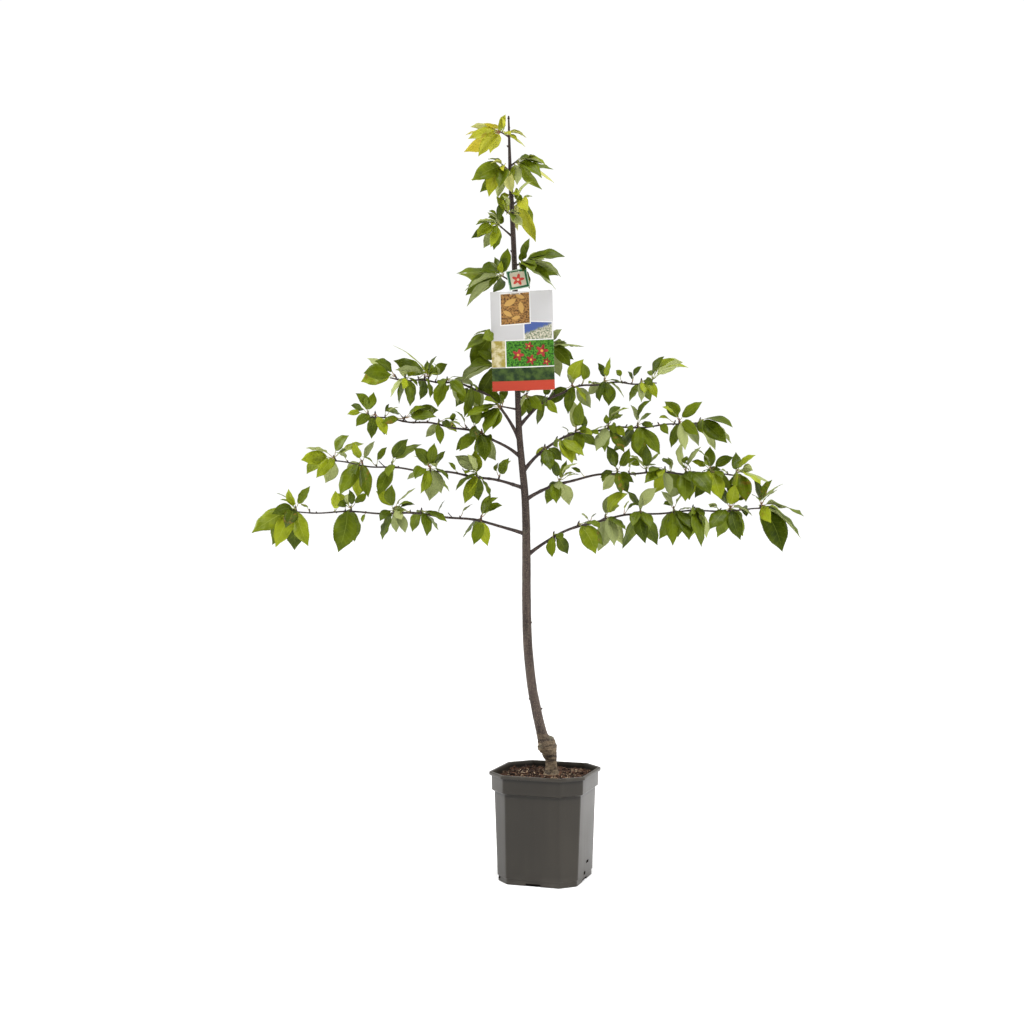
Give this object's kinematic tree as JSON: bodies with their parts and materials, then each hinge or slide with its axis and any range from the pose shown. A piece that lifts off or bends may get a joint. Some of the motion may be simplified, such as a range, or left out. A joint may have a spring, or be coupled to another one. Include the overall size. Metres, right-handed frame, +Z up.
{
  "type": "potted espalier cherry tree",
  "caption": "Young cherry tree trained flat in a square pot: tapering trunk with tiers of arching boughs, drooping pointed leaves, and a picture card and tag hung from the leading shoot.",
  "frame": {"origin": "middle of the pot's underside, on the ground", "axes": "+Z up, +X to the right of someone facing the trained face of the tree, -Y towards them"},
  "size_m": [1.2714, 0.2654, 1.7957],
  "materials": {
    "pot": "satin",
    "compost": "rough bark chips",
    "bark": "matt bark",
    "foliage": "satin leaf",
    "card": "printed, satin",
    "tag": "printed, satin",
    "loop": "satin"
  },
  "bodies": {
    "root": {"bough_left_1": "bark", "bough_left_2": "bark", "bough_left_3": "bark", "bough_left_4": "bark", "bough_right_1": "bark", "bough_right_2": "bark", "bough_right_3": "bark", "bough_right_4": "bark", "care_card": "card", "care_card_loop": "loop", "compost": "compost", "foliage_back": "foliage", "foliage_card_foot": "foliage", "foliage_card_left": "foliage", "foliage_card_right": "foliage", "foliage_collar_left": "foliage", "foliage_collar_right": "foliage", "foliage_crown_left": "foliage", "foliage_crown_right": "foliage", "foliage_front": "foliage", "foliage_left_1": "foliage", "foliage_left_2": "foliage", "foliage_left_3": "foliage", "foliage_left_4": "foliage", "foliage_middle_left": "foliage", "foliage_middle_right": "foliage", "foliage_right_1": "foliage", "foliage_right_2": "foliage", "foliage_right_3": "foliage", "foliage_right_4": "foliage", "foliage_top": "foliage", "foliage_upper_left": "foliage", "foliage_upper_right": "foliage", "pot": "pot", "small_tag": "tag", "small_tag_loop": "loop", "trunk": "bark"}
  },
  "joints": []
}
